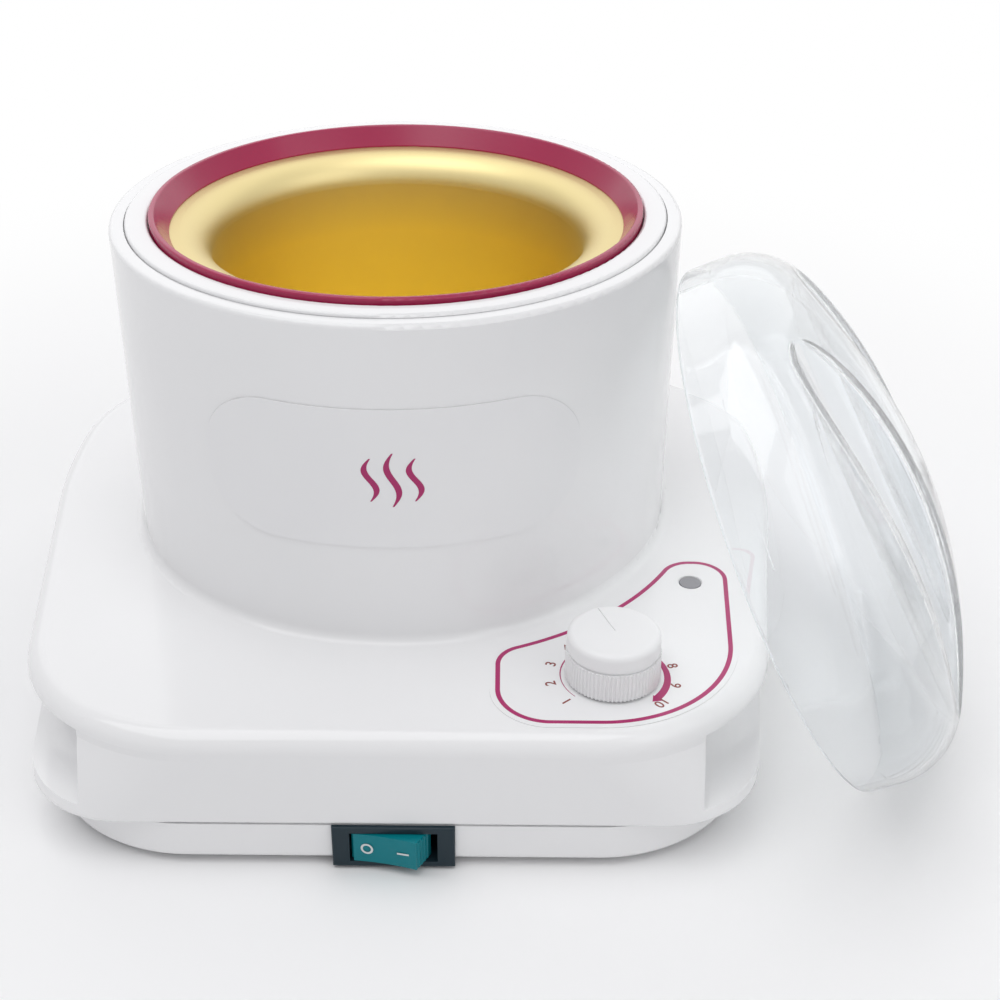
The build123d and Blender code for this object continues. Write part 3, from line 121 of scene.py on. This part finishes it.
class Material:
    """A node material with short calls for the patterns used here."""

    def __init__(self, name):
        self.data = bpy.data.materials.new(name)
        self.data.use_nodes = True
        self.tree = self.data.node_tree
        self.shader = self.tree.nodes["Principled BSDF"]
        self.place = self.node("ShaderNodeTexCoord").outputs["Object"]

    def node(self, kind, **values):
        made = self.tree.nodes.new(kind)
        for key, value in values.items():
            if hasattr(made, key):
                setattr(made, key, value)
            else:
                made.inputs[key.replace("_", " ").title()].default_value = value
        return made

    def link(self, start, end):
        self.tree.links.new(start, end)

    def set(self, **values):
        for key, value in values.items():
            socket = self.shader.inputs[key.replace("_", " ")]
            socket.default_value = (*value, 1.0) if isinstance(value, tuple) and len(value) == 3 else value
        return self

    def noise(self, scale, detail=2.0, stretch=None):
        made = self.node("ShaderNodeTexNoise", scale=scale, detail=detail)
        place = self.place
        if stretch:
            mapping = self.node("ShaderNodeMapping")
            mapping.inputs["Scale"].default_value = stretch
            self.link(place, mapping.inputs["Vector"])
            place = mapping.outputs["Vector"]
        self.link(place, made.inputs["Vector"])
        return made.outputs["Fac"]

    def colours(self, pattern, low, high, start=0.3, end=0.7):
        ramp = self.node("ShaderNodeValToRGB")
        ramp.color_ramp.elements[0].position = start
        ramp.color_ramp.elements[1].position = end
        ramp.color_ramp.elements[0].color = (*low, 1.0)
        ramp.color_ramp.elements[1].color = (*high, 1.0)
        self.link(pattern, ramp.inputs["Fac"])
        self.link(ramp.outputs["Color"], self.shader.inputs["Base Color"])
        return self

    def roughness(self, pattern, low, high):
        span = self.node("ShaderNodeMapRange")
        span.inputs["To Min"].default_value = low
        span.inputs["To Max"].default_value = high
        self.link(pattern, span.inputs["Value"])
        self.link(span.outputs["Result"], self.shader.inputs["Roughness"])
        return self

    def bump(self, pattern, height, strength=1.0):
        made = self.node("ShaderNodeBump", strength=strength, distance=height)
        self.link(pattern, made.inputs["Height"])
        self.link(made.outputs["Normal"], self.shader.inputs["Normal"])
        return self


def plastic(name, low, high, rough, grain=900.0, height=0.00002, **values):
    """Moulded plastic: faint colour drift, uneven gloss and a fine skin."""
    made = Material(name)
    made.set(**values)
    made.colours(made.noise(14.0), low, high)
    made.roughness(made.noise(60.0, 4.0), *rough)
    made.bump(made.noise(grain, 3.0), height, 0.4)
    return made.data


def metal(name, low, high, rough, grain, height, stretch=None, **values):
    """Bare metal with a grain that may run one way."""
    made = Material(name)
    made.set(Metallic=1.0, **values)
    made.colours(made.noise(grain / 20, 3.0, stretch), low, high)
    made.roughness(made.noise(grain, 2.0, stretch), *rough)
    made.bump(made.noise(grain, 2.0, stretch), height, 0.5)
    return made.data


def clear_plastic(name, low, high):
    """Clear moulding: part of the light is bent and the rest goes straight on, as through a thin wall."""
    made = Material(name)
    made.set(Transmission_Weight=1.0, IOR=1.45)
    made.colours(made.noise(14.0), low, high)
    made.roughness(made.noise(30.0), 0.0, 0.012)
    through = made.node("ShaderNodeBsdfTransparent")
    through.inputs["Color"].default_value = (0.98, 0.988, 0.994, 1.0)
    mix = made.node("ShaderNodeMixShader")
    mix.inputs["Fac"].default_value = LID_BENT_SHARE
    made.link(through.outputs["BSDF"], mix.inputs[1])
    made.link(made.shader.outputs["BSDF"], mix.inputs[2])
    made.link(mix.outputs["Shader"], made.tree.nodes["Material Output"].inputs["Surface"])
    return made.data


def spun_gold(name, deep, pale):
    """Satin gold-coloured metal with painted light: the colour turns from deep, saturated gold low on the
    wall to paler gold up the wall, from POT_DEEP_Z to POT_PALE_Z. The deep gold stands in for the richer
    colour that multiple reflections give the wall, and the pale gold stands in for the sheen on the
    shoulder.
    """
    made = Material(name)
    made.set(Metallic=1.0)
    apart = made.node("ShaderNodeSeparateXYZ")
    made.link(made.place, apart.inputs["Vector"])
    share = made.node("ShaderNodeMapRange")
    share.inputs["From Min"].default_value = POT_DEEP_Z * MM
    share.inputs["From Max"].default_value = POT_PALE_Z * MM
    made.link(apart.outputs["Z"], share.inputs["Value"])
    # Painted light: colour set by height, deep gold low on the wall and pale gold towards the shoulder
    made.colours(share.outputs["Result"], deep, pale, 0.0, 1.0)
    made.roughness(made.noise(2600.0), 0.42, 0.5)
    made.bump(made.noise(2600.0), 0.00001, 0.5)
    return made.data


SHELL_LOW = (0.865, 0.865, 0.87)
SHELL_HIGH = (0.885, 0.885, 0.89)
LOOKS = {
    "white_shell": plastic("shell_white", SHELL_LOW, SHELL_HIGH, (0.05, 0.09)),
    "ring_magenta": plastic(
        "ring_magenta", (0.35, 0.004, 0.062), (0.40, 0.006, 0.075), (0.2, 0.28)
    ),
    # Painted light on the pot: deep gold low on the wall, paler gold towards the shoulder
    "pot_gold": spun_gold("pot_gold", (0.90, 0.74, 0.22), (0.64, 0.54, 0.28)),
    "heater_rubber": plastic(
        "heater_rubber", (0.30, 0.07, 0.03), (0.36, 0.09, 0.04), (0.5, 0.65), 700.0, 0.0001
    ),
    "steel_sheet": metal(
        "steel_sheet", (0.45, 0.45, 0.46), (0.56, 0.56, 0.57), (0.25, 0.4), 900.0, 0.00002, (1, 1, 0.05)
    ),
    "insulation": plastic(
        "insulation", (0.62, 0.60, 0.55), (0.75, 0.73, 0.68), (0.85, 0.95), 450.0, 0.0012
    ),
    "phenolic": plastic("phenolic", (0.035, 0.022, 0.016), (0.055, 0.035, 0.025), (0.35, 0.5)),
    "ceramic_white": plastic("ceramic_white", (0.68, 0.65, 0.56), (0.76, 0.73, 0.65), (0.4, 0.55)),
    "copper": metal("copper", (0.70, 0.34, 0.20), (0.80, 0.42, 0.27), (0.25, 0.35), 900.0, 0.00001),
    "brass": metal("brass", (0.62, 0.45, 0.16), (0.72, 0.54, 0.24), (0.2, 0.32), 900.0, 0.00001),
    "zinc": metal("zinc", (0.50, 0.50, 0.47), (0.62, 0.62, 0.60), (0.25, 0.38), 700.0, 0.00001),
    "knob_white": plastic(
        "knob_white", (0.86, 0.86, 0.865), (0.88, 0.88, 0.885), (0.28, 0.36), 1400.0, 0.00003
    ),
    "lens_grey": plastic("lens_grey", (0.22, 0.22, 0.24), (0.27, 0.27, 0.29), (0.05, 0.1)),
    "clip_black": plastic("clip_black", (0.012, 0.012, 0.014), (0.02, 0.02, 0.022), (0.35, 0.5)),
    "bezel_slate": plastic(
        "bezel_slate", (0.012, 0.026, 0.036), (0.018, 0.034, 0.046), (0.26, 0.36), Specular_IOR_Level=0.25
    ),
    "rocker_teal": plastic(
        "rocker_teal", (0.0, 0.17, 0.20), (0.001, 0.21, 0.25), (0.24, 0.34), Specular_IOR_Level=0.25
    ),
    "label_film": plastic(
        "label_film", (0.85, 0.85, 0.86), (0.88, 0.88, 0.885), (0.12, 0.2), 600.0
    ),
    "plate_silver": metal(
        "plate_silver", (0.55, 0.56, 0.58), (0.64, 0.65, 0.67), (0.35, 0.5), 1200.0, 0.00001, (0.05, 1, 1)
    ),
    "foot_rubber": plastic(
        "foot_rubber", (0.02, 0.02, 0.022), (0.035, 0.035, 0.037), (0.6, 0.75), 600.0, 0.0001
    ),
    "lead_black": plastic("lead_black", (0.012, 0.012, 0.014), (0.02, 0.02, 0.022), (0.4, 0.55)),
    "lead_white": plastic("lead_white", (0.66, 0.66, 0.63), (0.74, 0.74, 0.71), (0.4, 0.55)),
    "lid_clear": clear_plastic("lid_clear", (0.96, 0.98, 0.99), (0.975, 0.99, 1.0)),
}
INK_MAGENTA = plastic("ink_magenta", (0.36, 0.006, 0.11), (0.42, 0.010, 0.13), (0.25, 0.35))
INK_BROWN = plastic("ink_brown", (0.20, 0.028, 0.022), (0.25, 0.04, 0.03), (0.3, 0.4))
INK_PALE = plastic("ink_pale", (0.62, 0.66, 0.66), (0.70, 0.74, 0.74), (0.3, 0.4))
for part in frame["record"]["subparts"]:
    slots = frame["nodes"][part["node"]].material_slots
    for slot in slots:
        slot.material = LOOKS[part["material_slot"]]


# Printed marks and other thin pieces

def mesh_piece(name, verts, faces, look, body):
    """A new mesh in metres from millimetre points, riding on a body."""
    mesh = bpy.data.meshes.new(name)
    mesh.from_pydata([Vector(v) * MM for v in verts], [], faces)
    mesh.update()
    made = bpy.data.objects.new(name, mesh)
    bpy.context.scene.collection.objects.link(made)
    made.data.materials.append(look)
    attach(made, body)
    return made


def panel_outline(inset, steps=40):
    """The panel label's outline moved inwards, as plan points."""
    points = []
    for x, y, radius, start, end, turn in PANEL_ARCS:
        r = radius - turn * inset
        for i in range(steps + 1):
            angle = radians(start + (end - start) * i / steps)
            points.append((x + r * cos(angle), y + r * sin(angle)))
    return points


def raised(outer, inner, low, high, closed=True):
    """Vertices and faces of a flat band between two loops of equal length."""
    count = len(outer)
    verts = [(x, y, z) for loop in (outer, inner) for z in (low, high) for x, y in loop]
    faces = []
    for i in range(count if closed else count - 1):
        j = (i + 1) % count
        faces.append((count + i, count + j, 3 * count + j, 3 * count + i))
        faces.append((i, 2 * count + i, 2 * count + j, j))
        faces.append((i, j, count + j, count + i))
        faces.append((2 * count + i, 3 * count + i, 3 * count + j, 2 * count + j))
    if not closed:
        faces.append((0, count, 3 * count, 2 * count))
    return verts, faces


def circle(centre, radius, steps):
    turns = [radians(360 * i / steps) for i in range(steps)]
    return [(centre[0] + radius * cos(a), centre[1] + radius * sin(a)) for a in turns]


def curve_mesh(name, curve, place):
    """A mesh object made from a curve, with its place baked in."""
    source = bpy.data.objects.new(name + "_curve", curve)
    bpy.context.scene.collection.objects.link(source)
    mesh = bpy.data.meshes.new_from_object(source.evaluated_get(bpy.context.evaluated_depsgraph_get()))
    bpy.data.objects.remove(source)
    mesh.transform(place)
    mesh.materials.clear()
    made = bpy.data.objects.new(name, mesh)
    bpy.context.scene.collection.objects.link(made)
    return made


def make_panel_label():
    """Film on the deck, its printed line, and the holes for the dial and the lamp."""
    outline = panel_outline(0)
    holes = [circle(DIAL, DIAL_HOLE_R, 48), circle(LAMP, LAMP_HOLE_R, 36)]
    curve = bpy.data.curves.new("panel_film", "CURVE")
    curve.dimensions = "2D"
    curve.fill_mode = "BOTH"
    curve.extrude = LABEL_T / 2 * MM
    for loop in [outline] + holes:
        spline = curve.splines.new("POLY")
        spline.points.add(len(loop) - 1)
        spline.use_cyclic_u = True
        for point, (x, y) in zip(spline.points, loop):
            point.co = (x * MM, y * MM, 0, 1)
    film = curve_mesh("panel_film", curve, Matrix.Translation((0, 0, (DECK_Z + LABEL_T / 2) * MM)))
    film.data.materials.append(LOOKS["label_film"])
    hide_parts("panel_label")
    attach(film, "base")
    top = DECK_Z + LABEL_T
    verts, faces = raised(*(panel_outline(inset) for inset in STROKE_INSETS), top, top + INK_T)
    mesh_piece("panel_line", verts, faces, INK_MAGENTA, "base")


def make_dial_numbers():
    """Plain numbers from 1 to 10 round the dial."""
    for n in range(1, 11):
        angle = DIAL_FIRST_DEG - DIAL_STEP_DEG * (n - 1)
        curve = bpy.data.curves.new(f"number_{n}", "FONT")
        curve.body = str(n)
        curve.size = NUMBER_SIZE * MM
        curve.offset = NUMBER_BOLD * MM
        curve.extrude = INK_T / 2 * MM
        curve.align_x = "CENTER"
        curve.align_y = "CENTER"
        x = DIAL[0] + NUMBER_R * cos(radians(angle))
        y = DIAL[1] + NUMBER_R * sin(radians(angle))
        z = DECK_Z + LABEL_T + INK_T / 2
        place = Matrix.Translation(Vector((x, y, z)) * MM) @ Matrix.Rotation(radians(angle - 90), 4, "Z")
        made = curve_mesh(f"number_{n}", curve, place)
        made.data.materials.append(INK_BROWN)
        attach(made, "base")


def make_dial_wedge(steps=90):
    """A printed band round the dial that widens from 1 to 10 and ends in a point."""
    first = DIAL_FIRST_DEG
    last = DIAL_FIRST_DEG - 9 * DIAL_STEP_DEG + WEDGE_SHORT_DEG
    loops = ([], [])
    for i in range(steps + 1):
        share = i / steps
        angle = radians(first + (last - first) * share)
        width = WEDGE_THIN + WEDGE_W * share ** 1.5
        for loop, r in zip(loops, (WEDGE_R + width, WEDGE_R)):
            loop.append((DIAL[0] + r * cos(angle), DIAL[1] + r * sin(angle)))
    tip = radians(last - WEDGE_TIP_DEG)
    flare = radians(last)
    for loop, r in zip(loops, (WEDGE_R + WEDGE_W + WEDGE_BARB_OUT, WEDGE_R - WEDGE_BARB_IN)):
        loop.append((DIAL[0] + r * cos(flare), DIAL[1] + r * sin(flare)))
    r = WEDGE_R + WEDGE_W * 0.6
    for loop in loops:
        loop.append((DIAL[0] + r * cos(tip), DIAL[1] + r * sin(tip)))
    outer, inner = loops
    low = DECK_Z + LABEL_T
    verts, faces = raised(outer, inner, low, low + INK_T, closed=False)
    mesh_piece("dial_wedge", verts, faces, INK_MAGENTA, "base")


def make_rocker_marks():
    """A ring and a dash on the rocker's face."""
    turn = Matrix.Rotation(radians(ROCKER_TILT_DEG), 4, "Z")
    stand = Matrix.Rotation(radians(90), 4, "X")
    place = Matrix.Translation(ROCKER_PIVOT) @ turn
    ring = raised(*(circle((0, 0), r, 32) for r in ROCKER_RING_R), 0, INK_T)
    half, thin = ROCKER_DASH
    bar = [(-half, -thin), (half, -thin), (half, thin), (-half, thin)]
    dash = raised(bar, [(x / 2, 0) for x, y in bar], 0, INK_T)
    for name, x, (verts, faces) in (("mark_off", -ROCKER_MARK_X, ring), ("mark_on", ROCKER_MARK_X, dash)):
        put = place @ Matrix.Translation((x, -ROCKER_MARK_OUT, 0)) @ stand
        mesh_piece(name, [put @ Vector(v) for v in verts], faces, INK_PALE, "rocker")


def make_heat_symbol(steps=36):
    """Three printed wavy strokes, a plain sign for heat, on the tower's label."""
    for k in (-1, 0, 1):
        height = HEAT_MIDDLE_H if k == 0 else HEAT_SIDE_H
        loops = ([], [])
        for i in range(steps + 1):
            share = i / steps
            z = TOWER_LABEL_Z + (share - 0.5) * height
            middle = HEAT_PITCH * k + HEAT_SWAY * sin(2 * radians(180) * share)
            half = HEAT_END_HALF + HEAT_SWELL * sin(radians(180) * share)
            for loop, side in zip(loops, (-1, 1)):
                loop.append((middle + side * half, z))
        verts = []
        for r in (TOWER_LABEL_R, TOWER_LABEL_R + INK_T):
            for loop in loops:
                for across, z in loop:
                    angle = radians(TOWER_LABEL_DEG) + across / r
                    grow = (z - TOWER_LABEL_Z) * TOWER_SLOPE
                    verts.append(((r + grow) * cos(angle), (r + grow) * sin(angle), z))
        n = steps + 1
        faces = []
        for i in range(steps):
            faces.append((2 * n + i, 3 * n + i, 3 * n + i + 1, 2 * n + i + 1))
            faces.append((i, i + 1, n + i + 1, n + i))
            faces.append((i, 2 * n + i, 2 * n + i + 1, i + 1))
            faces.append((n + i, n + i + 1, 3 * n + i + 1, 3 * n + i))
        faces.append((0, n, 3 * n, 2 * n))
        faces.append((steps, 2 * n + steps, 3 * n + steps, n + steps))
        mesh_piece(f"heat_stroke_{k + 2}", verts, faces, INK_MAGENTA, "base")


make_panel_label()
make_dial_numbers()
make_dial_wedge()
make_rocker_marks()
make_heat_symbol()


# Camera

def place_camera():
    pitch, roll, yaw = (radians(a) for a in (CAMERA_PITCH, CAMERA_ROLL, CAMERA_YAW))
    forward = Vector((sin(yaw) * cos(pitch), cos(yaw) * cos(pitch), -sin(pitch)))
    right = Vector((cos(yaw), -sin(yaw), 0))
    up = right.cross(forward)
    side = right * cos(roll) + up * sin(roll)
    top = up * cos(roll) - right * sin(roll)
    camera = bpy.data.cameras.new("camera")
    camera.lens = CAMERA_LENS
    camera.sensor_width = CAMERA_SENSOR
    camera.clip_start = 0.01
    holder = bpy.data.objects.new("camera", camera)
    turn = Matrix((side, top, -forward)).transposed().to_4x4()
    holder.matrix_world = Matrix.Translation(CAMERA_AT) @ turn
    bpy.context.scene.collection.objects.link(holder)
    bpy.context.scene.camera = holder


# Floor, light and background

def area_light(name, place, target, size, power):
    light = bpy.data.lights.new(name, "AREA")
    light.shape = "RECTANGLE"
    light.size, light.size_y = size
    light.energy = power
    holder = bpy.data.objects.new(name, light)
    holder.location = place
    holder.rotation_euler = (Vector(target) - Vector(place)).to_track_quat("-Z", "Y").to_euler()
    bpy.context.scene.collection.objects.link(holder)


def seen_directly(tree):
    """1 for camera, glossy and transmission rays, 0 for the rays that light the object."""
    path = tree.nodes.new("ShaderNodeLightPath")
    total = path.outputs["Is Camera Ray"]
    for kind in ("Is Glossy Ray", "Is Transmission Ray"):
        both = tree.nodes.new("ShaderNodeMath")
        both.operation = "MAXIMUM"
        tree.links.new(total, both.inputs[0])
        tree.links.new(path.outputs[kind], both.inputs[1])
        total = both.outputs["Value"]
    return total


def whiten_far_floor(made):
    """Away from the object and its shadow the floor turns to plain white, so no horizon shows."""
    distance = made.node("ShaderNodeVectorMath", operation="LENGTH")
    made.link(made.place, distance.inputs[0])
    far = made.node("ShaderNodeMapRange", interpolation_type="SMOOTHSTEP")
    far.inputs["From Min"].default_value = FLOOR_NEAR
    far.inputs["From Max"].default_value = FLOOR_FAR
    made.link(distance.outputs["Value"], far.inputs["Value"])
    share = made.node("ShaderNodeMath", operation="MULTIPLY")
    made.link(far.outputs["Result"], share.inputs[0])
    made.link(seen_directly(made.tree), share.inputs[1])
    white = made.node("ShaderNodeEmission")
    white.inputs["Color"].default_value = (1, 1, 1, 1)
    mix = made.node("ShaderNodeMixShader")
    made.link(share.outputs["Value"], mix.inputs["Fac"])
    made.link(made.shader.outputs["BSDF"], mix.inputs[1])
    made.link(white.outputs["Emission"], mix.inputs[2])
    made.link(mix.outputs["Shader"], made.tree.nodes["Material Output"].inputs["Surface"])


def make_floor():
    mesh = bpy.data.meshes.new("floor")
    corners = [(x * FLOOR_HALF, y * FLOOR_HALF, 0) for x, y in ((-1, -1), (1, -1), (1, 1), (-1, 1))]
    mesh.from_pydata(corners, [], [(0, 1, 2, 3)])
    floor = bpy.data.objects.new("floor", mesh)
    bpy.context.scene.collection.objects.link(floor)
    made = Material("floor")
    made.colours(made.noise(6.0), (0.93, 0.93, 0.935), (0.95, 0.95, 0.95))
    made.set(Roughness=0.6)
    whiten_far_floor(made)
    floor.data.materials.append(made.data)


def make_world():
    world = bpy.data.worlds.new("studio")
    bpy.context.scene.world = world
    world.use_nodes = True
    tree = world.node_tree
    back = tree.nodes["Background"]
    back.inputs["Color"].default_value = (0.97, 0.97, 1, 1)
    back.inputs["Strength"].default_value = WORLD_STRENGTH
    white = tree.nodes.new("ShaderNodeBackground")
    white.inputs["Color"].default_value = (1, 1, 1, 1)
    white.inputs["Strength"].default_value = 1.0
    mix = tree.nodes.new("ShaderNodeMixShader")
    tree.links.new(seen_directly(tree), mix.inputs["Fac"])
    tree.links.new(back.outputs["Background"], mix.inputs[1])
    tree.links.new(white.outputs["Background"], mix.inputs[2])
    tree.links.new(mix.outputs["Shader"], tree.nodes["World Output"].inputs["Surface"])


bpy.context.scene.view_settings.view_transform = "Standard"
place_camera()
make_floor()
make_world()
for name, place, target, size, power in LIGHTS:
    area_light(name, place, target, size, power)
